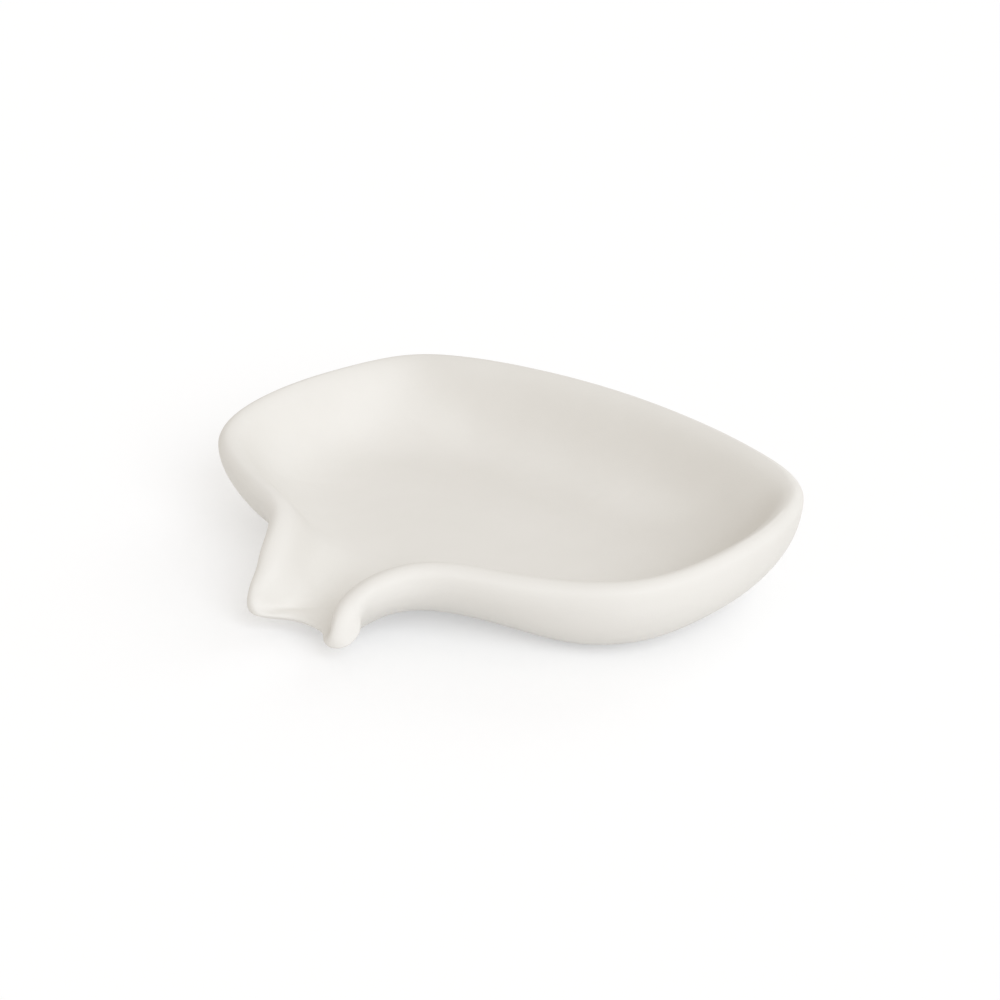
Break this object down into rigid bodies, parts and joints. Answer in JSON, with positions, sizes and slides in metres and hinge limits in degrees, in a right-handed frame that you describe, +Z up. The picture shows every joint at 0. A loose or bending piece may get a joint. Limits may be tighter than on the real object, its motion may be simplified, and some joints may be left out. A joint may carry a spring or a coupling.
{
  "type": "soap dish",
  "caption": "Low free-form soap dish with a thick round rim that rises to the back, a floor that falls to a pouring spout with two curled lips, and grip feet underneath.",
  "frame": {"origin": "middle of the dish's plan on the table that its feet stand on", "axes": "+X across the dish to its right, +Y away from the spout towards the high back, +Z up"},
  "size_m": [0.1496, 0.1132, 0.0316],
  "materials": {
    "dish": "matte warm off-white with a fine soft-touch grain",
    "grip": "matte pale grey rubber"
  },
  "bodies": {
    "root": {"dish_body": "dish", "grip_foot_front_right": "grip", "grip_foot_back_right": "grip", "grip_foot_back_left": "grip", "grip_foot_front_left": "grip"}
  },
  "joints": []
}
